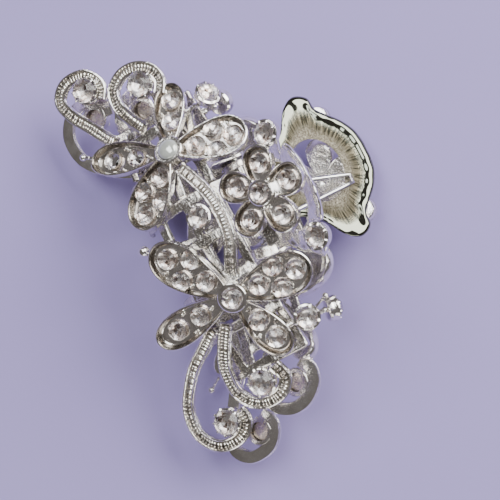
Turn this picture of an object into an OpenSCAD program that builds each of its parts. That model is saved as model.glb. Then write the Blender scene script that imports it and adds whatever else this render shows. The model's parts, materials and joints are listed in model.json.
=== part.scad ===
// Rhinestone claw clip: two identical cast jaws on one sprung hinge, each covered with soldered
// flowers, curled beaded bands and foil-backed stones.
// Jaw frame: X along the hinge pin, Y towards the finger plate, Z out of the front jaw.

/* [Jaw form] */
// Height of the ornament surface above the hinge at its highest line
crown_h = 11; // [10.5:0.25:11.5]
// Distance of that highest line from the hinge, towards the teeth
crown_back = 12.5; // [12:0.25:13.5]
// How far the highest line bends towards the teeth, as the radius of its bend
crest_r = 110; // [100:2:120]
// Radius of the ornament surface along the hinge
crown_long_r = 56; // [54:1:60]
// Radius of the ornament surface across the hinge
crown_cross_r = 42; // [40:1:46]
// Distance from the hinge to the tips of the teeth
tooth_reach = 24; // [23:0.5:26]
// Distance between neighbouring ribs
rib_pitch = 9; // [8.6:0.1:9.4]
// Width of a rib along the hinge
rib_w = 2.2; // [1.8:0.1:2.6]
// Thickness of a rib where it leaves the waist rail
rib_t = 1.8; // [1.4:0.1:2.2]

/* [Hinge] */
// Diameter of the hinge pin
pin_d = 2.4; // [2:0.1:2.6]
// Radial gap between the pin and each ear
pin_gap = 0.05; // [0.03:0.01:0.08]
// Outside diameter of an ear
ear_d = 6; // [5.6:0.1:6.4]
// Width of an ear along the pin
ear_w = 2.6; // [2.2:0.1:2.7]
// Diameter of the spring wire
wire_d = 1; // [0.9:0.05:1.1]
// Whole turns in each of the spring's two coils
coil_turns = 3; // [2:1:3]

/* [Finger plate] */
// Thickness of the finger plate
plate_t = 1.4; // [1.2:0.1:1.6]
// Half the width of the back finger plate across its two lobes
back_plate_half_w = 17; // [16:0.5:17.5]
// Half the width of the front finger plate across its two lobes
front_plate_half_w = 14.2; // [14:0.2:15]
// Distance from the hinge to the outer edge of the back finger plate
back_plate_reach = 21.5; // [21:0.5:22]
// Distance from the hinge to the outer edge of the front finger plate
front_plate_reach = 19.6; // [19.4:0.2:20]
// Sideways offset of the finger plate from the middle of the hinge
plate_shift = 3.2; // [2.6:0.2:3.6]
// Width of the oval finger hole
hole_w = 14.4; // [13:0.2:14.8]
// Length of the oval finger hole, measured square to the hinge
hole_l = 9.4; // [8.6:0.2:9.6]

/* [Ornament] */
// Thickness of a petal cup
cup_t = 2.2; // [2:0.1:2.4]
// Width of the raised rim round a petal
rim_w = 0.7; // [0.6:0.1:0.8]
// Width of a curled band
band_w = 2.8; // [2.4:0.1:3]
// Thickness of a curled band
band_t = 1.5; // [1.3:0.1:1.7]
// Diameter of the stones in the petals
petal_stone_d = 4.4; // [4.2:0.1:4.4]
// Diameter of the stones in the curls
curl_stone_d = 5.6; // [5.2:0.1:5.8]
// Diameter of the stones in the middle of the flowers
hub_stone_d = 4.6; // [4.4:0.1:4.8]

/* [Rest] */
// Angle between the closed jaws' meeting plane and the table when the clip lies on its back jaw
rest_tilt = 16.5; // [16:0.5:18]

/* [Hidden] */
$fn = 48;
silver = "gainsboro";
crystal = "lightcyan";
steel = "lightsteelblue";

// Placing the hinge frame in the part's own frame: the whole clip's box is centred on the origin
// and its lowest point is on the table.
hinge_y = 4.21;
hinge_z = 18.381;

// Frame castings
under_gap = 0.6;
ear_at = [-12.5, 9.5];
waist_y = 3.6;
waist_z = 6.4;
waist_rail = [3.2, 2.6];
rib_first = -3;
rib_last = 3;
rib_steps = 14;
bend_from = -11;
waist_from = -4;
tooth_lift = 0.7;
tooth_t = 0.9;
tooth_turn = 84;
far_rib_x = 10;
far_root = -2.6;

// Finger plate
plate_root_y = 2.6;
plate_root_z = 5.6;
plate_rise = 0.66;
plate_bow = 0.002;
hole_y = 11.6;

// Ornament placing: a petal is [direction, length, width, stones]
left_hub = [-17.2, -8.3];
right_hub = [14.7, -9.4];
left_petals = [[167, 16.0, 8.4, 2], [246, 20.8, 8.8, 2], [78, 16.5, 11, 4], [310, 17.0, 11, 4]];
right_petals = [[215, 19.7, 11, 4], [86, 16.7, 11, 4], [272, 20.7, 8.8, 2], [12, 15.6, 8.8, 2]];
small_hub = [1.7, 10, 18];
small_tilt = 4;
small_petal = [9.4, 7.4];
// Neighbouring petals of the small flower lie at slightly different heights
petal_lifts = [0, 0.08, 0, 0.08, 0.16];
small_stone_d = 4.1;
petal_floor = 1.2;
seat_depth = 0.8;
hub_r = 3.1;
hub_t = 3.3;
post_r = 0.85;
post_l = 13;

// Curls: each is a smooth curve through a few points of the ornament surface, with the stone that
// the curl closes round, as [x, y, tilt about the hinge direction, tilt across it]
tall_curl = [[-25.9, -13.0], [-31.0, -16.2], [-35.0, -17.4], [-38.2, -16.7], [-40.1, -13.6],
    [-39.8, -9.9], [-37.6, -6.9], [-34.5, -5.9], [-31.9, -7.3]];
wide_curl = [[-27.0, -20.6], [-29.1, -22.5], [-34.1, -25.7], [-38.2, -28.4], [-42.6, -29.6],
    [-45.4, -26.7], [-44.8, -21.7], [-41.1, -19.1], [-38.1, -20.5]];
inner_curl = [[18.9, -14.3], [22.4, -17.4], [26.9, -20.3], [32.2, -20.9], [36.0, -18.0],
    [36.6, -13.2], [34.2, -10.0], [30.4, -10.8]];
outer_curl = [[20.8, -21.5], [24.4, -28.0], [29.7, -32.9], [35.7, -33.8], [40.1, -30.8],
    [40.9, -26.0], [38.7, -22.5], [35.4, -22.6]];
stem_line = [[-13.8, -7.9], [-7.2, -4.9], [-1.7, -3.8], [4.1, -4.4], [10.6, -7.5]];
curl_stones = [[-35.6, -10.2], [-41.3, -22.6], [32.3, -14.7], [36.7, -25.9]];
edge_floor = 2;
floor_blend = 3;
curve_steps = 6;

// Single stones in their own cups, as [x, y, height of the cup's base, tilt about X, tilt about Y]
single_cups = [[-2.3, -7.8, 9.8, 0, 0], [25, 1, 3.9, -14, 16], [-25, 2.2, 4.4, -50, -16],
    [-8.5, 15.6, 16.1, 10, 0], [14, 15.6, 16.1, 10, 0]];
// Arms that hold the side cups, as [x, y, height, direction, length]
cup_arms = [[25, 0, 3.6, -90, 4.4], [-25, 2.4, 3.6, -90, 6.6]];
arm_r = 0.7;
cup_r = 2.9;
single_cup_t = 2.2;
single_stone_d = 4.6;
ring_lip = 0.8;
// Ball-tipped sprigs, as [ball's x, y, height, radius, stalk's direction, stalk's length]
sprigs = [[-2.2, -22.9, 10.5, 1.2, 35, 3.4], [-28.6, -29.6, 4, 0.8, 60, 3.2],
    [-22.3, 3.3, 4.6, 0.7, -110, 3]];

// ---------- surface and curve functions ----------
function crest_y(x) = -crown_back - x * x / (2 * crest_r);
function dome(p) = crown_h - p.x * p.x / (2 * crown_long_r)
    - (p.y - crest_y(p.x)) * (p.y - crest_y(p.x)) / (2 * crown_cross_r);
// Height of the ornament surface: the dome, eased into a floor that clears the other jaw
function crown(p) = let (z = dome(p))
    (z + edge_floor + sqrt((z - edge_floor) * (z - edge_floor) + floor_blend)) / 2;
function slope_x(p) = (crown([p.x + 0.5, p.y]) - crown([p.x - 0.5, p.y]));
function slope_y(p) = (crown([p.x, p.y + 0.5]) - crown([p.x, p.y - 0.5]));
function polar(r, a) = [r * cos(a), r * sin(a)];
function unit(v) = v / norm(v);

// A smooth curve through the points, each stretch cut into equal steps
function between(a, b, c, d, t) = 0.5 * (2 * b + (c - a) * t + (2 * a - 5 * b + 4 * c - d) * t * t
    + (3 * b - a - 3 * c + d) * t * t * t);
function curve(pts, steps) = let (n = len(pts) - 1) [
    for (i = [0 : n * steps])
        let (
            k = min(floor(i / steps), n - 1),
            t = i / steps - k
        )
        between(pts[max(k - 1, 0)], pts[k], pts[k + 1], pts[min(k + 2, n)], t)
];

// Egg outline of a petal: its narrow end is at the origin, and its round end points along X
function egg(length, width) = [
    for (a = [0 : 6 : 354])
        [length * (1 - cos(a)) / 2, width / 2 * sin(a) * (0.8 - 0.32 * cos(a))]
];

// ---------- placing ----------
module placed() {
    translate([0, hinge_y, hinge_z]) rotate([rest_tilt, 0, 0]) children();
}

module back_side() {
    placed() rotate([0, 180, 0]) children();
}

// Turns a flat piece so that it lies on the ornament surface at p, with its X axis along yaw
module on_crown(p, yaw, lift) {
    along = slope_x(p) * cos(yaw) + slope_y(p) * sin(yaw);
    across = slope_y(p) * cos(yaw) - slope_x(p) * sin(yaw);
    translate([p.x, p.y, crown(p) + lift]) rotate([atan(across), -atan(along), yaw]) children();
}

// ---------- stones ----------
// A foil-backed stone: straight foil cup, thin girdle, sloping crown and a flat table
module stone(d) {
    foil_r = d / 2 - 0.12;
    rotate_extrude() polygon([
        [0, 0], [foil_r, 0], [foil_r, seat_depth], [d / 2, seat_depth + 0.1],
        [d / 2, seat_depth + 0.25], [d * 0.29, seat_depth + d * 0.24], [0, seat_depth + d * 0.24]
    ]);
}

module stone_seat(d) {
    cylinder(d = d - 0.24, h = cup_t * 2);
}

// ---------- petals and flowers ----------
// Places of a petal's stones along and across it: one, two in a row, or four in a diamond
function stone_spots(length, count) = count == 1 ? [[length * 0.62, 0]] : count == 2
    ? [[length * 0.42, 0], [length * 0.74, 0]]
    : [[length * 0.31, 0], [length * 0.56, 2.5], [length * 0.56, -2.5], [length * 0.8, 0]];

module petal_cup(length, width, count) {
    difference() {
        linear_extrude(cup_t) polygon(egg(length, width));
        translate([rim_w, 0, petal_floor])
            linear_extrude(cup_t) polygon(egg(length - 2 * rim_w, width - 2 * rim_w));
        for (s = stone_spots(length, count))
            translate([s.x, s.y, petal_floor - seat_depth]) stone_seat(petal_stone_d);
    }
}

// Puts a piece drawn in a petal's own plane where that petal lies
module at_petal(hub, petal) {
    middle = hub + polar(petal[1] / 2, petal[0]);
    on_crown(middle, petal[0], -under_gap) translate([-petal[1] / 2, 0, 0]) children();
}

module flower(hub, petals) {
    color(silver) difference() {
        union() {
            for (p = petals) at_petal(hub, p) petal_cup(p[1], p[2], p[3]);
            on_crown(hub, 0, -under_gap) cylinder(r = hub_r, h = hub_t);
        }
        on_crown(hub, 0, hub_t - under_gap - seat_depth) stone_seat(hub_stone_d);
        for (p = petals) at_petal(hub, p) for (s = stone_spots(p[1], p[3]))
            translate([s.x, s.y, petal_floor - seat_depth]) stone_seat(petal_stone_d);
    }
}

module flower_stones(hub, petals) {
    color(crystal) {
        for (p = petals) at_petal(hub, p) for (s = stone_spots(p[1], p[3]))
            translate([s.x, s.y, petal_floor - seat_depth]) stone(petal_stone_d);
        on_crown(hub, 0, hub_t - under_gap - seat_depth) stone(hub_stone_d);
    }
}

module left_flower() { flower(left_hub, left_petals); }
module right_flower() { flower(right_hub, right_petals); }
module left_flower_stones() { flower_stones(left_hub, left_petals); }
module right_flower_stones() { flower_stones(right_hub, right_petals); }

module at_small_flower() {
    translate(small_hub) rotate([small_tilt, 0, 0]) children();
}

// Runs its children along each of the small flower's five petals
module at_small_petals() {
    for (k = [0 : 4]) translate([0, 0, petal_lifts[k]]) rotate([0, 0, 16 + 72 * k]) children();
}

module small_flower() {
    color(silver) at_small_flower() difference() {
        union() {
            at_small_petals() petal_cup(small_petal.x, small_petal.y, 1);
            cylinder(r = hub_r - 0.5, h = hub_t - 0.5);
            translate([0.8, -1.5, 1.2]) rotate([150, 0, 0]) cylinder(r = post_r, h = post_l);
        }
        at_small_petals() translate([stone_spots(small_petal.x, 1)[0].x, 0, petal_floor - seat_depth])
            stone_seat(small_stone_d);
        translate([0, 0, hub_t - 0.5 - seat_depth]) stone_seat(small_stone_d);
    }
}

module small_flower_stones() {
    color(crystal) at_small_flower() {
        at_small_petals() translate([stone_spots(small_petal.x, 1)[0].x, 0, petal_floor - seat_depth])
            stone(small_stone_d);
        translate([0, 0, hub_t - 0.5 - seat_depth]) stone(small_stone_d);
    }
}

// ---------- curled bands ----------
// Section of a band, as [across, up]: two raised rails with a trough between them
band_section = [
    [-band_w / 2, 0], [band_w / 2, 0], [band_w / 2, band_t], [band_w / 2 - 0.6, band_t],
    [band_w / 2 - 0.8, band_t - 0.5], [0.8 - band_w / 2, band_t - 0.5],
    [0.6 - band_w / 2, band_t], [-band_w / 2, band_t]
];

function on_surface(q, lift) = [q.x, q.y, crown(q) + lift];

module band(points, lift) {
    path = [for (q = curve(points, curve_steps)) on_surface(q, lift)];
    n = len(path);
    m = len(band_section);
    rings = [
        for (i = [0 : n - 1])
            let (
                ahead = unit(path[min(i + 1, n - 1)] - path[max(i - 1, 0)]),
                up = unit([-slope_x(path[i]), -slope_y(path[i]), 1]),
                side = unit(cross(ahead, up)),
                out = cross(side, ahead)
            )
            for (s = band_section) path[i] + s.x * side + s.y * out
    ];
    sides = [
        for (i = [0 : n - 2]) for (j = [0 : m - 1])
            let (a = i * m + j, b = i * m + (j + 1) % m)
            each [[a, b, b + m], [a, b + m, a + m]]
    ];
    caps = [[for (j = [m - 1 : -1 : 0]) j], [for (j = [0 : m - 1]) (n - 1) * m + j]];
    color(silver) polyhedron(points = rings, faces = concat(sides, caps));
}

module tall_curl() { band(tall_curl, -under_gap); }
module wide_curl() { band(wide_curl, -under_gap); }
module inner_curl() { band(inner_curl, -under_gap); }
module outer_curl() { band(outer_curl, -under_gap); }
module stem_band() { band(stem_line, 0.6); }

// Runs its children at each stone that a curl closes round
module at_curl_stones() {
    for (p = curl_stones) on_crown(p, 0, -under_gap) children();
}

module curl_stones() {
    color(crystal) at_curl_stones() translate([0, 0, single_cup_t - seat_depth]) stone(curl_stone_d);
}

// ---------- single cups and sprigs ----------
module at_single_cups() {
    for (c = single_cups)
        translate([c[0], c[1], c[2]]) rotate([c[3], c[4], 0]) children();
}

module stone_cups() {
    color(silver) {
        at_single_cups() difference() {
            cylinder(r = cup_r, h = single_cup_t);
            translate([0, 0, single_cup_t - seat_depth]) stone_seat(single_stone_d);
        }
        at_curl_stones() difference() {
            cylinder(r = curl_stone_d / 2 + 0.3, h = single_cup_t);
            translate([0, 0, single_cup_t - seat_depth]) stone_seat(curl_stone_d);
            translate([0, 0, -1]) cylinder(r = curl_stone_d / 2 - ring_lip, h = single_cup_t + 1);
        }
        for (a = cup_arms)
            translate([a[0], a[1], a[2]]) rotate([0, 90, a[3]]) cylinder(r = arm_r, h = a[4]);
    }
}

module cup_stones() {
    color(crystal) at_single_cups()
        translate([0, 0, single_cup_t - seat_depth]) stone(single_stone_d);
}

module ball_sprigs() {
    color(silver) for (s = sprigs) translate([s[0], s[1], s[2]]) {
        sphere(r = s[3]);
        rotate([0, 90, s[4]]) cylinder(r = s[3] * 0.45, h = s[5]);
    }
}

// ---------- rib frame ----------
// Height of the outer face of the crown part of a rib, which dips to the waist rail at its root
function rib_crown(x, y) = let (
        z = crown([x, y]) - under_gap + 0.1,
        s = max(0, (y - waist_from) / (waist_y - waist_from))
    )
    z * (1 - s * s) + (waist_z + 2) * s * s;

// Outer edge of a rib, as [y, z]: the crown part from its root, then the tooth's quarter turn
function rib_outer(x, root) = let (z = rib_crown(x, bend_from)) concat(
    [for (i = [0 : rib_steps - 1])
        let (y = root + (bend_from - root) * i / rib_steps) [y, rib_crown(x, y)]],
    [for (i = [0 : rib_steps])
        let (a = tooth_turn * i / rib_steps)
        [bend_from - (tooth_reach + bend_from) * sin(a), tooth_lift + (z - tooth_lift) * cos(a)]]
);

// The inner edge: each point of the outer edge moved inwards by the rib's thickness there
function rib_inner(edge) = let (n = len(edge) - 1) [
    for (i = [n : -1 : 0])
        let (
            ahead = unit(edge[min(i + 1, n)] - edge[max(i - 1, 0)]),
            t = rib_t + (tooth_t - rib_t) * i / n
        )
        edge[i] + t * [-ahead.y, ahead.x]
];

module rib(x) {
    outer = rib_outer(x, abs(x) > far_rib_x ? far_root : waist_y);
    translate([x - rib_w / 2, 0, 0]) rotate([90, 0, 90])
        linear_extrude(rib_w) polygon(concat(outer, rib_inner(outer)));
}

// A rail along the hinge direction that follows the ribs at one distance from the hinge
function rail_z(x, y) = y > bend_from ? rib_crown(x, y) - 0.2 : let (
        z = rib_crown(x, bend_from),
        s = (bend_from - y) / (tooth_reach + bend_from)
    )
    tooth_lift + (z - tooth_lift) * sqrt(1 - s * s) - 0.2;

module cross_rail(y, from_x, to_x) {
    xs = [for (i = [0 : 12]) from_x + (to_x - from_x) * i / 12];
    outer = [for (x = xs) [x, rail_z(x, y)]];
    inner = [for (i = [12 : -1 : 0]) [xs[i], rail_z(xs[i], y) - 1.4]];
    translate([0, y + 1, 0]) rotate([90, 0, 0]) linear_extrude(2) polygon(concat(outer, inner));
}

module ear(x) {
    translate([x - ear_w / 2, 0, 0]) {
        rotate([0, 90, 0]) cylinder(d = ear_d, h = ear_w);
        rotate([90, 0, 90]) linear_extrude(ear_w) polygon([
            [-2.8, 0.8], [1.5, 2.2], [-2.4, 7.3], [-4.4, 7.3]
        ]);
    }
}

module rib_frame() {
    color(silver) difference() {
        union() {
            for (i = [rib_first : rib_last]) rib((i + 0.25) * rib_pitch);
            cross_rail(-3.4, -25.8, 30.3);
            cross_rail(-10, -28, 30.3);
            cross_rail(-17.6, -28, 30.3);
            translate([-8, waist_y - 2, waist_z - 0.4]) cube([17.6, waist_rail.x, waist_rail.y - 0.6]);
            for (x = ear_at) ear(x);
        }
        rotate([0, 90, 0]) cylinder(d = pin_d + 2 * pin_gap, h = 60, center = true);
    }
}

// ---------- finger plate ----------
function plate_z(y) = plate_root_z + plate_rise * (y - plate_root_y)
    + plate_bow * (y - plate_root_y) * (y - plate_root_y);

// Right half of a plate's outline, from the root round the lobe to the middle of the far edge
function plate_edge(half_w, reach) = [
    [7.6, plate_root_y], [8.2, 5.6], [10.8, 8.6], [half_w - 2, 10.8], [half_w, 13.4],
    [half_w - 1.4, 15.8], [half_w - 4.2, 16.2], [half_w - 6.2, reach - 4], [8.2, reach - 2],
    [5, reach - 0.5], [1.8, reach]
];

module plate_outline(half_w, reach) {
    half = curve(plate_edge(half_w, reach), 3);
    polygon(concat(half, [for (i = [len(half) - 1 : -1 : 0]) [-half[i].x, half[i].y]]));
}

module finger_plate(half_w, reach) {
    ys = [for (i = [0 : 10]) plate_root_y - 1 + (reach - plate_root_y + 2) * i / 10];
    under = [for (y = ys) [y, plate_z(y)]];
    over = [for (i = [10 : -1 : 0]) [ys[i], plate_z(ys[i]) + plate_t]];
    color(silver) translate([plate_shift, 0, 0]) difference() {
        intersection() {
            translate([-20, 0, 0]) rotate([90, 0, 90])
                linear_extrude(40) polygon(concat(under, over));
            linear_extrude(40) plate_outline(half_w, reach);
        }
        translate([0, hole_y, 0]) linear_extrude(40)
            polygon([for (a = [0 : 12 : 348]) [hole_w / 2 * cos(a), hole_l / 2 * sin(a)]]);
    }
}

module back_finger_plate() { finger_plate(back_plate_half_w, back_plate_reach); }
module front_finger_plate() { finger_plate(front_plate_half_w, front_plate_reach); }

// ---------- hinge pin and spring ----------
module hinge_pin() {
    reach = 14.2;
    color(steel) placed() rotate([0, 90, 0]) {
        cylinder(d = pin_d, h = 2 * reach, center = true);
        for (s = [-1, 1]) translate([0, 0, s * (reach + 0.4)])
            cylinder(d = pin_d + 1.4, h = 0.8, center = true);
    }
}

// Double torsion spring: two coils round the pin, an end leg from each under the front finger
// plate, and between them a long hairpin that bears on the back plate beyond its hole
coil_clear = 0.5;
coil_r = pin_d / 2 + coil_clear + wire_d / 2;
coil_pitch = wire_d + 0.15;
coil_out = 7.5;
leg_gap = 0.15;
end_leg = [5.4, 6.6];
hairpin_tip = [1.6, 17.4];
wire_sides = 8;
turn_steps = 16;

// Where a straight leg to the point [y, z] leaves the coil's circle, on the meeting plane's side
function leave_angle(y, z) = atan2(z, y) - sign(z) * acos(coil_r / norm([y, z]));
function bearing_z(y) = plate_z(y) - wire_d / 2 / cos(atan(plate_rise)) - leg_gap;

// Half of the wire's path, for the side -1 or 1, from the end of its short leg to the hairpin's tip
function half_wire(side) = let (
        end_a = leave_angle(end_leg.y, bearing_z(end_leg.y)),
        pin_a = leave_angle(hairpin_tip.y, -bearing_z(hairpin_tip.y)),
        turn = pin_a - end_a - 360 * coil_turns,
        steps = ceil(-turn / 360 * turn_steps),
        coil_in = coil_out - coil_pitch * -turn / 360
    ) concat(
        [[side * end_leg.x, end_leg.y, bearing_z(end_leg.y)]],
        [for (i = [0 : steps])
            let (a = end_a + turn * i / steps)
            [side * (coil_out + (coil_in - coil_out) * i / steps), coil_r * cos(a), coil_r * sin(a)]],
        [[hairpin_tip.x + side * 0.9, hairpin_tip.y - 0.6, -bearing_z(hairpin_tip.y - 0.6)]]
    );

module torsion_spring() {
    left = half_wire(-1);
    right = half_wire(1);
    color(steel) placed()
        wire(concat(left, [for (i = [len(right) - 1 : -1 : 0]) right[i]]));
}

module wire(path) {
    n = len(path);
    rings = [
        for (i = [0 : n - 1])
            let (
                ahead = unit(path[min(i + 1, n - 1)] - path[max(i - 1, 0)]),
                side = unit(cross(ahead, [1, 0.01, 0.02])),
                out = cross(side, ahead)
            )
            for (j = [0 : wire_sides - 1])
                path[i] + wire_d / 2 * (cos(360 * j / wire_sides) * side
                    + sin(360 * j / wire_sides) * out)
    ];
    sides = [
        for (i = [0 : n - 2]) for (j = [0 : wire_sides - 1])
            let (a = i * wire_sides + j, b = i * wire_sides + (j + 1) % wire_sides)
            each [[a, b, b + wire_sides], [a, b + wire_sides, a + wire_sides]]
    ];
    caps = [
        [for (j = [wire_sides - 1 : -1 : 0]) j],
        [for (j = [0 : wire_sides - 1]) (n - 1) * wire_sides + j]
    ];
    polyhedron(points = rings, faces = concat(sides, caps));
}

back_side() rib_frame();  // back_rib_frame
back_side() back_finger_plate();
back_side() left_flower();  // back_left_flower
back_side() right_flower();  // back_right_flower
back_side() small_flower();  // back_small_flower
back_side() tall_curl();  // back_tall_curl
back_side() wide_curl();  // back_wide_curl
back_side() inner_curl();  // back_inner_curl
back_side() outer_curl();  // back_outer_curl
back_side() stem_band();  // back_stem_band
back_side() stone_cups();  // back_stone_cups
back_side() ball_sprigs();  // back_ball_sprigs
back_side() left_flower_stones();  // back_left_flower_stones
back_side() right_flower_stones();  // back_right_flower_stones
back_side() small_flower_stones();  // back_small_flower_stones
back_side() curl_stones();  // back_curl_stones
back_side() cup_stones();  // back_cup_stones
placed() rib_frame();  // front_rib_frame
placed() front_finger_plate();
placed() left_flower();  // front_left_flower
placed() right_flower();  // front_right_flower
placed() small_flower();  // front_small_flower
placed() tall_curl();  // front_tall_curl
placed() wide_curl();  // front_wide_curl
placed() inner_curl();  // front_inner_curl
placed() outer_curl();  // front_outer_curl
placed() stem_band();  // front_stem_band
placed() stone_cups();  // front_stone_cups
placed() ball_sprigs();  // front_ball_sprigs
placed() left_flower_stones();  // front_left_flower_stones
placed() right_flower_stones();  // front_right_flower_stones
placed() small_flower_stones();  // front_small_flower_stones
placed() curl_stones();  // front_curl_stones
placed() cup_stones();  // front_cup_stones
hinge_pin();
torsion_spring();
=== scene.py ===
"""Looks of the rhinestone claw clip. Each jaw's pieces are drawn once in the jaw's own frame, in
millimetres: X along the hinge pin, Y towards the finger plate, Z out of the front jaw."""
import json
import math
import random

import bpy
from mathutils import Matrix, Vector


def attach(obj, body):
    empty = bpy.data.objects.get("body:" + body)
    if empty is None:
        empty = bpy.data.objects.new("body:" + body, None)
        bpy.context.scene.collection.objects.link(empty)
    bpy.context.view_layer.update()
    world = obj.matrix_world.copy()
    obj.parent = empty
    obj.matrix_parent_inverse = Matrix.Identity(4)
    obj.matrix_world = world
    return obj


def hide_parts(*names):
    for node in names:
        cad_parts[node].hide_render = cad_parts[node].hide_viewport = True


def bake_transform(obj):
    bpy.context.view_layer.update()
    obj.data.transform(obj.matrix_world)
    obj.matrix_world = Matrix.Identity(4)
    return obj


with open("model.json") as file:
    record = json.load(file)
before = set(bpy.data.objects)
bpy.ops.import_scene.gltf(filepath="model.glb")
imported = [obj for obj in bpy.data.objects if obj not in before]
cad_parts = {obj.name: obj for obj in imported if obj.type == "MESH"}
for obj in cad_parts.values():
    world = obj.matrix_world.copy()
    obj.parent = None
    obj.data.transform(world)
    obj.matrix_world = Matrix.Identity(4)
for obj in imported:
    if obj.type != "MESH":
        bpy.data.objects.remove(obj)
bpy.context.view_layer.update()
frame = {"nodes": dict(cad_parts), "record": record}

hinge = Vector(frame["record"]["behaviour"]["joints"][0]["pos_m"])
TILT = math.radians(16.5)
IN_ROW = Matrix.Translation(hinge) @ Matrix.Rotation(TILT, 4, "X") @ Matrix.Scale(0.001, 4)
SIDES = {"front": IN_ROW, "back": IN_ROW @ Matrix.Rotation(math.pi, 4, "Y")}
BODY = {"front": "front_jaw", "back": "back_jaw"}

# ---------- layout of a jaw, as in the part ----------
# Only the outer curl differs: it starts nearer the flower, so that its end tucks under the petal.
UNDER = 0.6                     # how far cups and bands sink below the crown
CUP_T, FLOOR, SEAT = 2.2, 1.2, 0.8
PETAL_STONE, SMALL_STONE, SINGLE_STONE, CURL_STONE = 4.4, 4.1, 4.6, 5.6
CROWN_H, CROWN_BACK, CREST_R, LONG_R, CROSS_R = 11, 12.5, 110, 56, 42
EDGE_FLOOR, EDGE_EASE = 2, 3    # the crown flattens out at this height, over this softness
HUB_H, SMALL_HUB_H = 3.3, 2.8
LEFT_HUB, RIGHT_HUB = (-17.2, -8.3), (14.7, -9.4)
LEFT_PETALS = [(167, 16.0, 8.4, 2), (246, 20.8, 8.8, 2), (78, 16.5, 11, 4), (310, 17.0, 11, 4)]
RIGHT_PETALS = [(215, 19.7, 11, 4), (86, 16.7, 11, 4), (272, 20.7, 8.8, 2), (12, 15.6, 8.8, 2)]
SMALL_HUB, SMALL_TILT, SMALL_PETAL = (1.7, 10, 18), 4, (9.4, 7.4)
CURLS = {
    "tall_curl": [(-25.9, -13.0), (-31.0, -16.2), (-35.0, -17.4), (-38.2, -16.7), (-40.1, -13.6),
                  (-39.8, -9.9), (-37.6, -6.9), (-34.5, -5.9), (-31.9, -7.3)],
    "wide_curl": [(-27.0, -20.6), (-29.1, -22.5), (-34.1, -25.7), (-38.2, -28.4), (-42.6, -29.6),
                  (-45.4, -26.7), (-44.8, -21.7), (-41.1, -19.1), (-38.1, -20.5)],
    "inner_curl": [(18.9, -14.3), (22.4, -17.4), (26.9, -20.3), (32.2, -20.9), (36.0, -18.0),
                   (36.6, -13.2), (34.2, -10.0), (30.4, -10.8)],
    "outer_curl": [(18.6, -17.5), (20.8, -21.5), (24.4, -28.0), (29.7, -32.9), (35.7, -33.8),
                   (40.1, -30.8), (40.9, -26.0), (38.7, -22.5), (35.4, -22.6)],
    "stem_band": [(-13.8, -7.9), (-7.2, -4.9), (-1.7, -3.8), (4.1, -4.4), (10.6, -7.5)],
}
CURL_STONES = [(-35.6, -10.2), (-41.3, -22.6), (32.3, -14.7), (36.7, -25.9)]
CUPS = [(-2.3, -7.8, 9.8, 0, 0), (25, 1, 3.9, -14, 16), (-25, 2.2, 4.4, -50, -16),
        (-8.5, 15.6, 16.1, 10, 0), (14, 15.6, 16.1, 10, 0)]
CUP_ARMS = [(25, 0, 3.6, -90, 4.4), (-25, 2.4, 3.6, -90, 6.6)]
SPRIGS = [(-2.2, -22.9, 10.5, 1.2, 35, 3.4), (-28.6, -29.6, 4, 0.8, 60, 3.2),
          (-22.3, 3.3, 4.6, 0.7, -110, 3)]


def crown(x, y):
    """Height of the jaw's domed face."""
    crest = -CROWN_BACK - x * x / (2 * CREST_R)
    z = CROWN_H - x * x / (2 * LONG_R) - (y - crest) ** 2 / (2 * CROSS_R)
    return (z + EDGE_FLOOR + math.sqrt((z - EDGE_FLOOR) ** 2 + EDGE_EASE)) / 2


def slopes(x, y):
    return crown(x + .5, y) - crown(x - .5, y), crown(x, y + .5) - crown(x, y - .5)


def turn(x=0.0, y=0.0, z=0.0):
    """OpenSCAD's rotate([x, y, z])."""
    r = Matrix.Rotation
    return r(math.radians(z), 4, "Z") @ r(math.radians(y), 4, "Y") @ r(math.radians(x), 4, "X")


def on_crown(x, y, yaw, lift):
    """A place lying on the domed face, turned by yaw and raised by lift."""
    sx, sy = slopes(x, y)
    c, s = math.cos(math.radians(yaw)), math.sin(math.radians(yaw))
    along, across = sx * c + sy * s, sy * c - sx * s
    return Matrix.Translation((x, y, crown(x, y) + lift)) @ turn(
        math.degrees(math.atan(across)), -math.degrees(math.atan(along)), yaw)


def at_petal(centre, petal_row):
    """A petal's place: its narrow end at the flower's centre."""
    yaw, length = petal_row[:2]
    c, s = math.cos(math.radians(yaw)), math.sin(math.radians(yaw))
    middle = centre[0] + length / 2 * c, centre[1] + length / 2 * s
    return on_crown(*middle, yaw, -UNDER) @ Matrix.Translation((-length / 2, 0, 0))


def spots(length, count):
    """Where a petal's stones sit."""
    if count == 1:
        return [(length * .62, 0)]
    if count == 2:
        return [(length * .42, 0), (length * .74, 0)]
    return [(length * .31, 0), (length * .56, 2.5), (length * .56, -2.5), (length * .8, 0)]


def smooth_curve(pts, steps):
    """The same curve through the points as the part's."""
    out, n = [], len(pts) - 1
    for i in range(n * steps + 1):
        k = min(i // steps, n - 1)
        t = i / steps - k
        a, b, c, d = (Vector(pts[max(k - 1, 0)]), Vector(pts[k]), Vector(pts[k + 1]),
                      Vector(pts[min(k + 2, n)]))
        out.append(0.5 * (2 * b + (c - a) * t + (2 * a - 5 * b + 4 * c - d) * t * t
                          + (3 * b - a - 3 * c + d) * t ** 3))
    return out


# ---------- building meshes ----------
END_SWELL = .35                 # how far a wire's rounded end stands out, in radii


def circle(r, z, n, start=0.0, shift=0.0):
    """A ring of n points, turned by start and by shift of a step."""
    return [(r * math.cos(start + math.tau * (j + shift) / n),
             r * math.sin(start + math.tau * (j + shift) / n), z) for j in range(n)]


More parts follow.
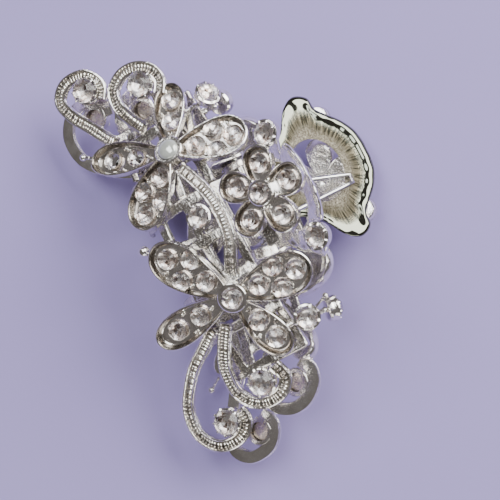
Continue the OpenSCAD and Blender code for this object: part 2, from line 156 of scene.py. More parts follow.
class Shape:
    """Vertices and faces in the jaw's frame, with a material number and a tone for each face."""

    def __init__(self):
        self.v, self.f, self.m, self.tone, self.uv = [], [], [], [], {}

    def add(self, verts, faces, mat=0, at=None, tone=0.0):
        base = len(self.v)
        self.v += [at @ Vector(v) if at else Vector(v) for v in verts]
        for i, f in enumerate(faces):
            self.f.append([base + j for j in f])
            self.m.append(mat[i] if isinstance(mat, list) else mat)
            self.tone.append(tone[i] if isinstance(tone, list) else tone)

    def rings(self, rings, mats=0, at=None, cap=(True, True), tone=0.0):
        """Joins equal rings of points into a skin. mats is one number or one for each strip."""
        n = len(rings[0])
        strips = len(rings) - 1
        verts = [p for r in rings for p in r]
        if not isinstance(mats, list):
            mats = [mats] * strips
        faces, mat = [], []
        for i in range(strips):
            for j in range(n):
                a, b = i * n + j, i * n + (j + 1) % n
                faces.append([a, b, b + n, a + n])
                mat.append(mats[i])
        if cap[0]:
            faces.append(list(range(n))[::-1])
            mat.append(mats[0])
        if cap[1]:
            faces.append([strips * n + j for j in range(n)])
            mat.append(mats[-1])
        self.add(verts, faces, mat, at, tone)

    def ball(self, centre, r, mat=0, at=None, sides=10, rows=6, stretch=None):
        place = (at or Matrix()) @ Matrix.Translation(centre) @ (stretch or Matrix())
        angles = [math.pi * i / rows for i in range(1, rows)]
        self.rings([circle(r * math.sin(a), -r * math.cos(a), sides) for a in angles], mat, place)

    def tube(self, path, radius, mat=0, sides=10, at=None):
        """A round wire along a path, with rounded ends. radius may be a list."""
        path = [Vector(p) for p in path]
        n = len(path)
        side = None
        rings = []
        for i, p in enumerate(path):
            ahead = (path[min(i + 1, n - 1)] - path[max(i - 1, 0)]).normalized()
            if side is None:
                side = ahead.orthogonal().normalized()
            side = (side - ahead * side.dot(ahead)).normalized()
            up = ahead.cross(side)
            r = radius[i] if isinstance(radius, list) else radius
            ring = [p + r * (math.cos(math.tau * j / sides) * side
                             + math.sin(math.tau * j / sides) * up) for j in range(sides)]
            if i == 0:
                rings.append([p + (q - p) * .5 - ahead * r * END_SWELL for q in ring])
            rings.append(ring)
            if i == n - 1:
                rings.append([p + (q - p) * .5 + ahead * r * END_SWELL for q in ring])
        self.rings(rings, mat, at)


def lathe(profile, sides=32):
    """Rings of a turned shape from its [radius, height] profile."""
    return [circle(r, z, sides) for r, z in profile]


def make(shape, name, place, body, materials, stands_for=(), sharp=35, uv=False):
    """The mesh object of a shape, put where place says. A piece given no body is left unattached."""
    mesh = bpy.data.meshes.new(name)
    mesh.from_pydata([place @ v for v in shape.v], [], shape.f)
    for m in materials:
        mesh.materials.append(m)
    mesh.polygons.foreach_set("material_index", shape.m)
    tone = mesh.attributes.new("tone", "FLOAT", "FACE")
    tone.data.foreach_set("value", shape.tone)
    if uv:
        layer = mesh.uv_layers.new(name="along_rim")
        for loop in mesh.loops:
            layer.data[loop.index].uv = shape.uv.get(loop.vertex_index, (0, 0))
    mesh.validate()
    if sharp:
        mesh.shade_smooth()
        mesh.set_sharp_from_angle(angle=math.radians(sharp))
    obj = bpy.data.objects.new(name, mesh)
    bpy.context.collection.objects.link(obj)
    if stands_for:
        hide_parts(*stands_for)
    if body:
        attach(obj, body)
    return obj


# ---------- material detail groups ----------
def new_group(name, colours=(), amounts=(), height=True):
    """A node group with colour and amount inputs, which puts out a colour, a roughness and a height."""
    g = bpy.data.node_groups.new(name, "ShaderNodeTree")
    for kind, rows in (("NodeSocketColor", colours), ("NodeSocketFloat", amounts)):
        for label, value in rows:
            socket = g.interface.new_socket(label, in_out="INPUT", socket_type=kind)
            socket.default_value = (*value, 1) if kind == "NodeSocketColor" else value
    g.interface.new_socket("Color", in_out="OUTPUT", socket_type="NodeSocketColor")
    for label in ("Roughness", "Height") if height else ("Roughness",):
        g.interface.new_socket(label, in_out="OUTPUT", socket_type="NodeSocketFloat")
    return g, g.nodes.new("NodeGroupInput"), g.nodes.new("NodeGroupOutput")


def object_place(g):
    return g.nodes.new("ShaderNodeTexCoord").outputs["Object"]


def noise(g, scale, detail, rough, vector):
    n = g.nodes.new("ShaderNodeTexNoise")
    n.inputs["Scale"].default_value = scale
    n.inputs["Detail"].default_value = detail
    n.inputs["Roughness"].default_value = rough
    g.links.new(vector, n.inputs["Vector"])
    return n.outputs["Fac"]


def remap(g, source, lo, hi, out_lo, out_hi):
    n = g.nodes.new("ShaderNodeMapRange")
    for key, v in (("From Min", lo), ("From Max", hi), ("To Min", out_lo), ("To Max", out_hi)):
        n.inputs[key].default_value = v
    g.links.new(source, n.inputs["Value"])
    return n.outputs["Result"]


def combine(g, operation, a, b):
    n = g.nodes.new("ShaderNodeMath")
    n.operation = operation
    g.links.new(a, n.inputs[0])
    g.links.new(b, n.inputs[1])
    return n.outputs[0]


def mix(g, factor, a, b):
    """A colour between a and b, each a socket or a plain colour."""
    n = g.nodes.new("ShaderNodeMix")
    n.data_type = "RGBA"
    g.links.new(factor, n.inputs["Factor"])
    for socket, v in ((n.inputs[6], a), (n.inputs[7], b)):
        if isinstance(v, tuple):
            socket.default_value = (*v, 1.0)
        else:
            g.links.new(v, socket)
    return n.outputs[2]


def plating_group():
    """Cast, plated metal: cloudy tint, satin patches and a fine casting grain."""
    g, i, o = new_group("plated_casting", [("Light", (.96, .94, .9)), ("Dull", (.5, .46, .4))],
                        [("Wear", .5), ("Shine", .12)])
    co = object_place(g)
    cloud = noise(g, 260, 5, .6, co)
    grain = noise(g, 2600, 3, .6, co)
    lumps = noise(g, 900, 2, .5, co)
    worn = combine(g, "MULTIPLY", remap(g, cloud, .42, .68, 0, 1), i.outputs["Wear"])
    g.links.new(mix(g, worn, i.outputs["Light"], i.outputs["Dull"]), o.inputs["Color"])
    g.links.new(combine(g, "ADD", i.outputs["Shine"], remap(g, grain, .35, .75, 0, .16)),
                o.inputs["Roughness"])
    g.links.new(combine(g, "ADD", remap(g, grain, .3, .7, 0, .3), remap(g, lumps, .3, .7, 0, .7)),
                o.inputs["Height"])
    return g


def scored_group():
    """Filed and grained metal: score lines from the rim to the hole, and sparkly pits near the hole."""
    g, i, o = new_group("scored_metal", [("Light", (.27, .24, .16)), ("Dark", (.04, .038, .025))])
    uv = g.nodes.new("ShaderNodeTexCoord").outputs["UV"]
    stretch = g.nodes.new("ShaderNodeMapping")
    stretch.inputs["Scale"].default_value = (150, 1.4, 1)
    g.links.new(uv, stretch.inputs["Vector"])
    lines = remap(g, noise(g, 1, 3, .6, stretch.outputs["Vector"]), .42, .6, 0, 1)
    pits = remap(g, noise(g, 3200, 4, .7, object_place(g)), .42, .6, 0, 1)
    sep = g.nodes.new("ShaderNodeSeparateXYZ")
    g.links.new(uv, sep.inputs[0])
    inward = sep.outputs["Y"]
    past_rim = remap(g, inward, .3, .52, 0, 1)
    near_hole = remap(g, inward, .62, .86, 0, 1)
    face = mix(g, near_hole, mix(g, lines, i.outputs["Dark"], i.outputs["Light"]),
               mix(g, pits, (.14, .12, .08), (.52, .48, .37)))
    g.links.new(mix(g, past_rim, (.2, .21, .17), face), o.inputs["Color"])
    g.links.new(remap(g, inward, .3, .6, .07, .36), o.inputs["Roughness"])
    g.links.new(combine(g, "MULTIPLY", combine(g, "ADD", lines, pits), past_rim), o.inputs["Height"])
    return g


def foil_group():
    """Painted reflections on the foil behind the stones: each facet gets its own painted reflection
    colour from the facet's tone.
    """
    g, i, o = new_group("facet_painted_reflections", [("Bright", (1, .98, .95))], height=False)
    tone = g.nodes.new("ShaderNodeAttribute")
    tone.attribute_name = "tone"
    # Painted reflections: each tone range picks a white, warm, brown, bluish or dark reflection colour.
    painted_reflection_tints = [(0, (1, .98, .95)), (.26, (.93, .83, .75)), (.46, (.72, .6, .52)), (.56, (1, .98, .95)),
             (.74, (.78, .79, .84)), (.86, (.26, .19, .15)), (.93, (.96, .9, .85))]
    ramp = g.nodes.new("ShaderNodeValToRGB")
    ramp.color_ramp.interpolation = "CONSTANT"
    stops = ramp.color_ramp.elements
    stops.remove(stops[1])
    stops[0].color = (*painted_reflection_tints[0][1], 1)
    for pos, tint in painted_reflection_tints[1:]:
        stops.new(pos).color = (*tint, 1)
    g.links.new(tone.outputs["Fac"], ramp.inputs["Fac"])
    speck = noise(g, 1500, 2, .5, object_place(g))
    g.links.new(mix(g, remap(g, speck, .4, .8, 0, .25), ramp.outputs["Color"], i.outputs["Bright"]),
                o.inputs["Color"])
    g.links.new(remap(g, speck, .3, .7, .2, .34), o.inputs["Roughness"])
    return g


def paper_group():
    """Pale card: soft mottling and a fine tooth."""
    g, i, o = new_group("pale_card", [("Tint", (.325, .268, .56))])
    co = object_place(g)
    broad = remap(g, noise(g, 9, 3, .5, co), .35, .65, 0, .16)
    tooth = noise(g, 1500, 4, .6, co)
    g.links.new(mix(g, broad, i.outputs["Tint"], (.385, .325, .635)), o.inputs["Color"])
    g.links.new(remap(g, tooth, .3, .7, .75, .9), o.inputs["Roughness"])
    g.links.new(tooth, o.inputs["Height"])
    return g


PLATING, SCORED, FOIL, CARD = plating_group(), scored_group(), foil_group(), paper_group()


def shaded(name, metallic, shader=()):
    """A new material with its Principled shader's constants set."""
    m = bpy.data.materials.new(name)
    m.use_nodes = True
    p = m.node_tree.nodes["Principled BSDF"]
    p.inputs["Metallic"].default_value = metallic
    for key, v in shader:
        p.inputs[key].default_value = v
    return m, m.node_tree, p


def material(name, group, settings=(), metallic=1.0, bump=None, shader=()):
    """A material whose detail group feeds its shader. bump is a strength and a distance in metres."""
    m, t, p = shaded(name, metallic, shader)
    n = t.nodes.new("ShaderNodeGroup")
    n.node_tree = group
    for key, v in settings:
        n.inputs[key].default_value = v
    t.links.new(n.outputs["Color"], p.inputs["Base Color"])
    t.links.new(n.outputs["Roughness"], p.inputs["Roughness"])
    if bump:
        b = t.nodes.new("ShaderNodeBump")
        b.inputs["Strength"].default_value, b.inputs["Distance"].default_value = bump
        t.links.new(n.outputs["Height"], b.inputs["Height"])
        t.links.new(b.outputs["Normal"], p.inputs["Normal"])
    return m


def tinted_plating(name, light, dull, wear, shine, bump, **rest):
    return material(name, PLATING, [("Light", (*light, 1)), ("Dull", (*dull, 1)), ("Wear", wear),
                                    ("Shine", shine)], bump=bump, **rest)


def glass_material():
    """Clear crystal, very slightly uneven in tint and polish."""
    m, t, p = shaded("clear_crystal", 0.0, [("Transmission Weight", 1.0), ("IOR", 1.5)])
    cloud = noise(t, 700, 2, .5, object_place(t))
    t.links.new(mix(t, cloud, (.99, .97, .95), (.95, .94, .95)), p.inputs["Base Color"])
    t.links.new(remap(t, cloud, .4, .8, 0, .012), p.inputs["Roughness"])
    return m


silver = material("silver_plating", PLATING, [("Wear", .45), ("Shine", .1)], bump=(.35, .00012))
mirror = material("mirror_floor", PLATING, [("Wear", .3), ("Shine", .13)], bump=(.12, .00006))
# Dark plating for the petal walls, the bands' troughs and the rims round the stones: painted shade in
# the recesses.
recess_paint_shade = tinted_plating("painted_recess_shade", (.36, .33, .29), (.15, .13, .11), .8, .22, (.4, .0001))
# The rib frames' plating: a frosted finish, its colour darker than the silver as painted shade on the
# frames under the ornaments.
frosted_painted_shade = tinted_plating("frosted_casting_with_painted_shade", (.74, .72, .67), (.3, .27, .23), .8, .16, (.5, .00015))
scored = material("scored_plate", SCORED, bump=(.5, .00012))
wire_steel = tinted_plating("spring_wire", (.75, .75, .74), (.5, .48, .46), .5, .14, (.15, .00005))
# The foil's colour is painted reflections, one for each facet.
foil = material("stone_foil", FOIL)
cabochon = tinted_plating("clouded_stone", (.62, .65, .6), (.42, .45, .42), .7, .04, None,
                          metallic=.35, shader=[("Coat Weight", .9), ("Coat Roughness", .03)])
card = material("pale_card", CARD, metallic=0.0, bump=(.12, .0001))
crystal = glass_material()

# Material numbers of the faces on the metal pieces, and their order in the slots.
# The third material number is the dark plating of the recesses, painted shade.
SILVER, MIRROR, PAINTED_SHADE_FACES, SCORED_FACE = range(4)
METAL = [silver, mirror, recess_paint_shade, scored]

# ---------- stones ----------
rng = random.Random(7)


def gem_foil(shape, d, at):
    """The foil-backed pavilion under a stone: eight main facets and sixteen narrow ones."""
    r, top = d / 2 - .16, SEAT + .1
    start = rng.random() * math.tau
    verts = circle(r, top, 16, start) + circle(r * .5, top - .5, 8, start, .5) + [(0, 0, top - .74)]
    faces = []
    for j in range(8):
        a, b, c = 2 * j, 2 * j + 1, (2 * j + 2) % 16
        faces += [[a, b, 16 + j], [b, c, 16 + j], [c, 16 + (j + 1) % 8, 16 + j],
                  [16 + j, 16 + (j + 1) % 8, 24]]
    # Each facet gets a random tone, which picks its painted reflection colour; the bowl's tone .3 picks
    # a warm one.
    shape.add(verts, faces, 0, at, [rng.random() for _ in faces])
    bowl = lathe([(r * .7, .1), (r, .32), (r + .02, top)], 16)
    shape.rings(bowl, 0, at, cap=(True, False), tone=.3)


def gem_crown(shape, d, at):
    """A clear stone: girdle, sixteen break facets, eight bezel facets, eight stars and a table."""
    r, low, high = d / 2 - .02, SEAT + .12, SEAT + d * .24 - .02
    start = rng.random() * math.tau
    verts = [v for rad, z in ((r - .14, low - .04), (r, low + .04), (r, low + .14))
             for v in circle(rad, z, 16, start)]
    verts += circle(r * .77, low + (high - low) * .56, 8, start, .5) + circle(d * .29, high, 8, start)
    faces = [list(range(16))[::-1]]
    for k in (0, 16):
        faces += [[k + j, k + (j + 1) % 16, k + 16 + (j + 1) % 16, k + 16 + j] for j in range(16)]
    for j in range(8):
        g0, g1, g2 = 32 + 2 * j, 32 + 2 * j + 1, 32 + (2 * j + 2) % 16
        mid, t0, t1 = 48 + j, 56 + j, 56 + (j + 1) % 8
        nxt = 48 + (j + 1) % 8
        faces += [[g0, g1, mid], [g1, g2, mid], [mid, t1, t0], [g2, nxt, t1, mid]]
    faces.append([56 + j for j in range(8)])
    shape.add(verts, faces, 0, at)


def gems(d_at):
    """The foils and the crystals of stones, given each one's diameter and place."""
    foils, crowns = Shape(), Shape()
    for d, at in d_at:
        gem_foil(foils, d, at)
        gem_crown(crowns, d, at)
    return foils, crowns


def shifted(at, x=0.0, y=0.0, z=0.0):
    return at @ Matrix.Translation((x, y, z))


# ---------- petals and flowers ----------
def egg(length, width, inset, z, n=72):
    """A petal's outline, wider towards the tip, drawn in by inset."""
    l, w = length - 2 * inset, width - 2 * inset
    return [(inset + l * (1 - math.cos(a)) / 2, w / 2 * math.sin(a) * (.8 - .32 * math.cos(a)), z)
            for a in (math.tau * j / n for j in range(n))]


def petal(shape, length, width, count, at):
    """A petal cup: domed back, rolled bright rim, wall darkened with painted shade, mirror floor and
    grain balls.
    """
    # Rows: inset, height and material number; the wall rows take material 2, the painted shade of the
    # recesses.
    section = [(1.6, 0.02, 0), (.5, 0.0, 0), (.14, .22, 0), (0, .6, 0), (.02, 1.5, 0), (-.03, 1.9, 0),
               (.02, 2.1, 0), (.16, 2.2, 0), (.34, 2.2, 0), (.5, 2.08, 2), (.6, 1.85, 2), (.7, 1.2, 2),
               (.8, .72, 2), (1.0, .56, 1), (1.9, .52, 1)]
    shape.rings([egg(length, width, d, z) for d, z, _ in section], [m for _, _, m in section[1:]], at)
    s = spots(length, count)
    if count == 4:
        balls = [(s[0][0] + 2.1, 0), (s[1][0] + 2, s[1][1] + .35), (s[2][0] + 2, s[2][1] - .35),
                 (s[1][0] - 2.3, s[1][1] + .2), (s[2][0] - 2.3, s[2][1] - .2), (s[3][0] - .7, 3.0)]
    elif count == 2:
        between = (s[0][0] + s[1][0]) / 2
        balls = [(between, width * .27), (between + .2, -width * .27), (s[0][0] - 2.9, 0)]
    else:
        balls = []
    for x, y in balls:
        shape.ball((x, y, 1.05), .46, SILVER, at)
        shape.tube([(x, y, .5), (x, y, .8), (x, y, 1.1)], [.4, .3, .28], SILVER, 8, at)


def hub(shape, r, h, stone_d, at):
    """A flower's middle: a flared tube with a rolled lip round its stone."""
    ring = stone_d / 2
    # The two strips inside the lip, round the stone, are painted shade.
    shape.rings(lathe([(r - .5, .05), (r - .1, .3), (r - .02, h * .5), (r - .12, h - .75), (r, h - .4),
                       (r - .02, h - .1), (r - .18, h + .02), (ring + .05, h), (ring - .1, h - .12),
                       (ring - .1, h - .6)], 40), [SILVER] * 7 + [PAINTED_SHADE_FACES] * 2, at)


def flower(centre, petals):
    """A large flower's cups, its petals' stones, and the seat of its middle stone."""
    cups, stones = Shape(), []
    middle = on_crown(*centre, 0, -UNDER)
    for row in petals:
        _, length, width, count = row
        at = at_petal(centre, row)
        petal(cups, length, width, count, at)
        stones += [(PETAL_STONE, shifted(at, x, y, FLOOR - SEAT)) for x, y in spots(length, count)]
    hub(cups, 3.1, HUB_H, SINGLE_STONE, middle)
    return cups, stones, shifted(middle, z=HUB_H - SEAT)


def small_flower():
    """The five-petal flower over the finger plate, with grain balls between its petals and its post."""
    cups, stones = Shape(), []
    middle = Matrix.Translation(SMALL_HUB) @ turn(x=SMALL_TILT)
    for k in range(5):
        at = middle @ turn(z=16 + 72 * k)
        petal(cups, *SMALL_PETAL, 1, at)
        stones.append((SMALL_STONE, shifted(at, spots(SMALL_PETAL[0], 1)[0][0], 0, FLOOR - SEAT)))
    hub(cups, 2.6, SMALL_HUB_H, SMALL_STONE, middle)
    for x, y, z in circle(2.95, 1.9, 5, math.radians(52)):
        cups.ball((x, y, z), .5, SILVER, middle)
    top = middle @ Vector((.8, -1.5, 1.2))
    down = (middle @ turn(x=150)).to_3x3() @ Vector((0, 0, 13))
    cups.tube([top, top + down * .3, top + down * .7, top + down], [.95, .8, .8, 1.0])
    stones.append((SMALL_STONE, shifted(middle, z=SMALL_HUB_H - SEAT)))
    return cups, stones


# ---------- curled bands ----------
BAND = [(-1.25, .06), (0, 0), (1.25, .06), (1.38, .3), (1.3, .8), (1.02, .92), (0, .78), (-1.02, .92),
        (-1.3, .8), (-1.38, .3)]
# The two faces of the trough between the rails are painted shade.
BAND_MATS = [SILVER] * 5 + [PAINTED_SHADE_FACES] * 2 + [SILVER] * 3
BEAD_R, BEAD_STEP, BEAD_SQUASH = .45, .74, Matrix.Diagonal((1.75, .66, .88, 1))


def band(points):
    """A curled band: thin plate, two bright rolled rails, and a row of beads across the trough."""
    shape = Shape()
    flat = smooth_curve(points, 16)
    path = [Vector((q.x, q.y, crown(q.x, q.y) - UNDER)) for q in flat]
    n = len(path)
    frames = []
    for i, p in enumerate(path):
        ahead = (path[min(i + 1, n - 1)] - path[max(i - 1, 0)]).normalized()
        sx, sy = slopes(p.x, p.y)
        side = ahead.cross(Vector((-sx, -sy, 1)).normalized()).normalized()
        frames.append((p, ahead, side, side.cross(ahead)))
    verts = [p + x * s + z * o for p, _, s, o in frames for x, z in BAND]
    m = len(BAND)
    faces, mats = [], []
    for i in range(n - 1):
        for j in range(m):
            a, b = i * m + j, i * m + (j + 1) % m
            faces.append([a, b, b + m, a + m])
            mats.append(BAND_MATS[j])
    faces += [list(range(m))[::-1], [(n - 1) * m + j for j in range(m)]]
    mats += [SILVER, SILVER]
    shape.add(verts, faces, mats)
    for x in (-1.1, 1.1):
        shape.tube([p + x * s + 1.13 * o for p, _, s, o in frames], .3, SILVER, 8)
    run = 0.0
    for i in range(1, n):
        run += (path[i] - path[i - 1]).length
        if run >= BEAD_STEP:
            run -= BEAD_STEP
            p, ahead, side, out = frames[i]
            at = Matrix((side, ahead, out)).transposed().to_4x4()
            at.translation = p + 1.06 * out
            shape.ball((0, 0, 0), BEAD_R, SILVER, at, 8, 6, BEAD_SQUASH)
    return shape


# ---------- single cups, curl rings, sprigs ----------
def level_way(yaw, length):
    return turn(y=90, z=yaw).to_3x3() @ Vector((0, 0, length))


def prong_cup(shape, r, h, stone_d, at, prongs=8, open_back=False):
    """A pressed stone cup with a scalloped lip and small prongs over the stone's edge."""
    edge = stone_d / 2
    wall = [(r - .05, h - .5), (r - .08, h - .1)]
    inner = [(edge + .06, h + .02), (edge - .1, h - .15), (edge - .15, h - .7)]
    # The faces inside the lip, round the stone, are painted shade.
    if open_back:
        lip = (edge - .75, .04)
        profile = [lip, (r - .35, 0), (r - .1, .3), (r - .22, 1.1), (r - .02, h - .5), (r - .05, h - .1),
                   *inner, (edge - .7, h - .8), lip]
        shape.rings(lathe(profile, 40), [SILVER] * 6 + [PAINTED_SHADE_FACES] * 4, at, cap=(False, False))
    else:
        profile = [(r - .9, 0.0), (r - .5, .1), (r - .2, .6), (r - .28, 1.2), *wall, *inner]
        shape.rings(lathe(profile, 40), [SILVER] * 6 + [PAINTED_SHADE_FACES] * 2, at)
    ring = edge + .12
    for j in range(prongs):
        a = math.tau * j / prongs
        prong = [(rad * math.cos(a), rad * math.sin(a), z)
                 for rad, z in ((ring, h - .25), (ring + .02, h + .08), (ring - .3, h + .24))]
        shape.tube(prong, [.32, .3, .2], SILVER, 8, at)


def stone_cups():
    """A jaw's single cups, curl rings and arms, with the single stones and the curls' stones."""
    cups, singles, curl = Shape(), [], []
    for x, y, z, tilt_x, tilt_y in CUPS:
        at = Matrix.Translation((x, y, z)) @ turn(tilt_x, tilt_y, 0)
        prong_cup(cups, 2.85, CUP_T, SINGLE_STONE, at)
        singles.append((SINGLE_STONE, shifted(at, z=CUP_T - SEAT)))
    for x, y in CURL_STONES:
        at = on_crown(x, y, 0, -UNDER)
        prong_cup(cups, 3.1, CUP_T, CURL_STONE, at, prongs=10, open_back=True)
        curl.append((CURL_STONE, shifted(at, z=CUP_T - SEAT)))
    for x, y, z, yaw, length in CUP_ARMS:
        start, way = Vector((x, y, z)), level_way(yaw, length)
        cups.tube([start, start + way * .35, start + way * .7, start + way], [.7, .5, .55, .7])
        cups.ball(start + way * .5, .75)
    return cups, singles, curl


def sprigs():
    """Ball-ended stalks."""
    shape = Shape()
    for x, y, z, r, yaw, length in SPRIGS:
        start, way = Vector((x, y, z)), level_way(yaw, length)
        shape.ball(start, r, sides=16, rows=10)
        shape.tube([start, start + way * .5, start + way], [r * .5, r * .38, r * .5])
        shape.ball(start + way * .42, r * .55)
    return shape


# ---------- finger plate ----------
PLATE_FOOT_Y, PLATE_FOOT_Z, PLATE_FOOT_W = 2.6, 5.6, 7.6
PLATE_RISE, PLATE_BOW, PLATE_SHIFT = .66, .002, 3.2
HOLE_Y, HOLE_LONG, HOLE_SHORT = 11.6, 7.2, 4.7


def plate_z(y):
    """Height of the plate's inner face."""
    return PLATE_FOOT_Z + PLATE_RISE * (y - PLATE_FOOT_Y) + PLATE_BOW * (y - PLATE_FOOT_Y) ** 2


def plate_outline(half_w, reach):
    """The lobed outline: up one side, down the other and back along the foot."""
    edge = [(PLATE_FOOT_W, PLATE_FOOT_Y), (8.2, 5.6), (10.8, 8.6), (half_w - 2, 10.8), (half_w, 13.4),
            (half_w - 1.4, 15.8), (half_w - 4.2, 16.2), (half_w - 6.2, reach - 4), (8.2, reach - 2),
            (5, reach - .5), (1.8, reach)]
    half = [(q.x, q.y) for q in smooth_curve(edge, 8)]
    foot = [(-PLATE_FOOT_W + 2 * PLATE_FOOT_W * k / 16, PLATE_FOOT_Y) for k in range(1, 16)]
    return half + [(-x, y) for x, y in half[::-1]] + foot


def finger_plate(half_w, reach):
    """The lobed plate: rolled and polished outer rim, scored inner face, beaded hole edge."""
    shape = Shape()
    loop = plate_outline(half_w, reach)
    n = len(loop)
    hole = []
    for x, y in loop:
        a = math.atan2((y - HOLE_Y) / HOLE_SHORT, x / HOLE_LONG)
        hole.append((HOLE_LONG * math.cos(a), HOLE_Y + HOLE_SHORT * math.sin(a)))
    total, around = 0.0, []
    for i, (x, y) in enumerate(loop):
        around.append(total)
        q = loop[(i + 1) % n]
        total += math.hypot(q[0] - x, q[1] - y)
    # From the rim (0) to the hole (1), with each face's height above the plate's own surface.
    steps = [0, .03, .08, .14, .2, .26, .34, .45, .6, .75, .88, .95, 1]
    under = [.5, .18, .0, -.02, .06, .22, .34, .4, .4, .38, .3, .34, .5]
    over = [.9, 1.22, 1.38, 1.4, 1.36, 1.26, 1.18, 1.14, 1.14, 1.16, 1.22, 1.16, .9]

    def skin(heights, mats, flip):
        verts = []
        base = len(shape.v)
        for k, s in enumerate(steps):
            for i in range(n):
                x = loop[i][0] + (hole[i][0] - loop[i][0]) * s
                y = loop[i][1] + (hole[i][1] - loop[i][1]) * s
                ripple = .07 * math.sin(around[i] * 1.9) * (1 - s) if k else 0
                verts.append((x + PLATE_SHIFT, y, plate_z(y) + heights[k] + ripple))
                shape.uv[base + k * n + i] = (around[i] / total, s)
        faces, mat = [], []
        for k in range(len(steps) - 1):
            for i in range(n):
                a, b = k * n + i, k * n + (i + 1) % n
                f = [a, b, b + n, a + n]
                faces.append(f[::-1] if flip else f)
                mat.append(mats[k])
        shape.add(verts, faces, mat)
        return base

    inner = skin(under, [SCORED_FACE] * 12, True)
    outer = skin(over, [SILVER] * 5 + [MIRROR] * 7, False)
    for ring, flip in ((0, False), (len(steps) - 1, True)):
        low, high = inner + ring * n, outer + ring * n
        for i in range(n):
            j = (i + 1) % n
            f = [low + i, low + j, high + j, high + i]
            shape.f.append(f[::-1] if flip else f)
        shape.m += [SILVER] * n
        shape.tone += [0.0] * n
    for k in range(7):
        a = math.radians(200 + 23 * k)
        x, y = PLATE_SHIFT + 7.6 * math.cos(a), HOLE_Y + 5.1 * math.sin(a)
        shape.ball((x, y, plate_z(y) + 1.25), .5)
    return shape


# ---------- spring ----------
WIRE_R, COIL_R, COIL_PITCH, COIL_TURNS, COIL_START = .5, 2.2, 1.15, 3, 7.5


def spring_wire():
    """Two coils round the pin, an end leg from each, and the hairpin between them."""
    def bearing(y):
        """Where the wire's middle lies against a finger plate."""
        return plate_z(y) - WIRE_R / math.cos(math.atan(PLATE_RISE)) - .15

    def leave(y, z):
        """The angle at which a straight leg to y, z leaves the coil."""
        return math.atan2(z, y) - math.copysign(math.acos(COIL_R / math.hypot(y, z)), z)

    def half(side):
        leg_y, pin_y, tip_y, count = 6.6, 17.4, 16.8, 110
        end_a, pin_a = leave(leg_y, bearing(leg_y)), leave(pin_y, -bearing(pin_y))
        total = pin_a - end_a - math.tau * COIL_TURNS
        pts = [Vector((side * 5.4, leg_y, bearing(leg_y)))]
        for i in range(count + 1):
            a = end_a + total * i / count
            x = COIL_START - COIL_PITCH * -total / math.tau * i / count
            pts.append(Vector((side * x, COIL_R * math.cos(a), COIL_R * math.sin(a))))
        last, tip = pts[-1], Vector((1.6 + side * .9, tip_y, -bearing(tip_y)))
        return pts + [last.lerp(tip, k / 12) for k in range(1, 13)]

    shape = Shape()
    shape.tube(half(-1) + half(1)[::-1], WIRE_R, sides=12)
    return shape


# ---------- the two jaws ----------
CAST_GRAIN = .00022             # metres: how finely the rib frames' casting is rounded


def build_jaws():
    """Draws each kind of piece once, and puts it on both jaws."""
    left, left_stones, left_mid = flower(LEFT_HUB, LEFT_PETALS)
    right, right_stones, right_mid = flower(RIGHT_HUB, RIGHT_PETALS)
    small, small_stones = small_flower()
    cups, cup_stones, curl_stones = stone_cups()
    dome_stone = Shape()
    dome_stone.rings(lathe([(1.9, .2), (2.2, .5), (2.24, .95), (2.05, 1.3), (1.6, 1.62), (.9, 1.84),
                            (.3, 1.9)]), at=left_mid)
    right_stones.append((SINGLE_STONE, right_mid))
    pieces = {"left_flower": left, "right_flower": right, "small_flower": small, "stone_cups": cups,
              "ball_sprigs": sprigs()}
    pieces.update((name, band(points)) for name, points in CURLS.items())
    stones = {"left_flower_stones": gems(left_stones), "right_flower_stones": gems(right_stones),
              "small_flower_stones": gems(small_stones), "curl_stones": gems(curl_stones),
              "cup_stones": gems(cup_stones)}
    plates = {"front": finger_plate(14.2, 19.6), "back": finger_plate(17, 21.5)}
    for side, place in SIDES.items():
        body = BODY[side]
        for name, shape in pieces.items():
            make(shape, f"{side}_{name}_metal", place, body, METAL, [f"{side}_{name}"])
        make(plates[side], f"{side}_finger_plate_metal", place, body, METAL,
             [f"{side}_finger_plate"], uv=True, sharp=50)
        for name, (foils, crowns) in stones.items():
            make(foils, f"{side}_{name}_foil", place, body, [foil], sharp=0)
            make(crowns, f"{side}_{name}_crystal", place, body, [crystal],
                 [f"{side}_{name}"], sharp=0)
        make(dome_stone, f"{side}_left_flower_domed_stone", place, body, [cabochon])
        ribs = frame["nodes"][f"{side}_rib_frame"]
        # The rib frames take the darker plating, painted shade under the ornaments.
        ribs.data.materials.clear()
        ribs.data.materials.append(frosted_painted_shade)
        soften = ribs.modifiers.new("cast_surface", "REMESH")
        soften.mode = "VOXEL"
        soften.voxel_size = CAST_GRAIN
        soften.use_smooth_shade = True
        rounding = ribs.modifiers.new("rounded_edges", "SMOOTH")
        rounding.factor = .5
        rounding.iterations = 5


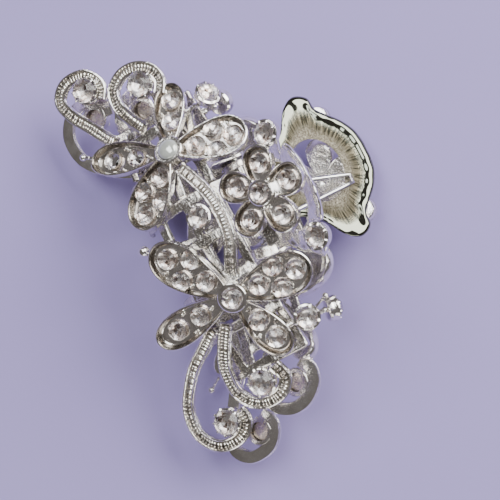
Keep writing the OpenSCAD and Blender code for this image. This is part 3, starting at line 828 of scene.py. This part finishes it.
build_jaws()
pin = frame["nodes"]["hinge_pin"]
pin.data.materials.clear()
pin.data.materials.append(wire_steel)
bevel = pin.modifiers.new("rounded_heads", "BEVEL")
bevel.width = .0002
bevel.segments = 2
spring = make(spring_wire(), "double_torsion_spring", IN_ROW, None, [wire_steel],
              ["torsion_spring"])
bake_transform(spring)

# ---------- floor, light and camera ----------
MIDDLE = Vector((0, 0, .02))
bpy.ops.mesh.primitive_plane_add(size=3)
floor = bpy.context.object
floor.name = "floor"
floor.data.materials.append(card)


def area(name, size, power, place, color):
    """A soft rectangular lamp aimed at the middle of the clip."""
    lamp = bpy.data.lights.new(name, "AREA")
    lamp.shape = "RECTANGLE"
    lamp.size, lamp.size_y = size
    lamp.energy = power
    lamp.color = color
    obj = bpy.data.objects.new(name, lamp)
    bpy.context.collection.objects.link(obj)
    obj.location = place
    obj.rotation_euler = (MIDDLE - place).to_track_quat("-Z", "Y").to_euler()


world = bpy.data.worlds.new("studio")
bpy.context.scene.world = world
world.use_nodes = True
world.node_tree.nodes["Background"].inputs["Color"].default_value = (.5, .46, .45, 1)
world.node_tree.nodes["Background"].inputs["Strength"].default_value = .27

# The camera's axes and place in the front jaw's frame.
RIGHT = Vector((.43423424, .80601541, -.40221858))
UP = Vector((-.88623261, .46223607, -.03048877))
AWAY = Vector((.16134551, .36969849, .91503587))
EYE = Vector((52.48332137, 99.16464981, 259.24202758))
spin = Matrix.Rotation(TILT, 3, "X")
axes = [spin @ v for v in (RIGHT, UP, AWAY)]
lens = bpy.data.cameras.new("camera")
lens.lens = 97.2
lens.sensor_width = 36
lens.clip_start = .01
camera = bpy.data.objects.new("camera", lens)
bpy.context.collection.objects.link(camera)
camera.matrix_world = Matrix.Translation(IN_ROW @ EYE) @ Matrix(axes).transposed().to_4x4()
bpy.context.scene.camera = camera


def beside(right, up, away):
    """A place given along the camera's own axes from the middle of the clip, in metres."""
    return MIDDLE + axes[0] * right + axes[1] * up + axes[2] * away


area("key_window", (.8, .6), 15, beside(.5, .45, .6), (1, .99, .97))
area("top_panel", (.4, .8), 7, beside(-.35, .35, .75), (.95, .96, 1))
area("low_fill", (.7, .3), 2.2, beside(.1, -.8, .35), (1, .97, .94))
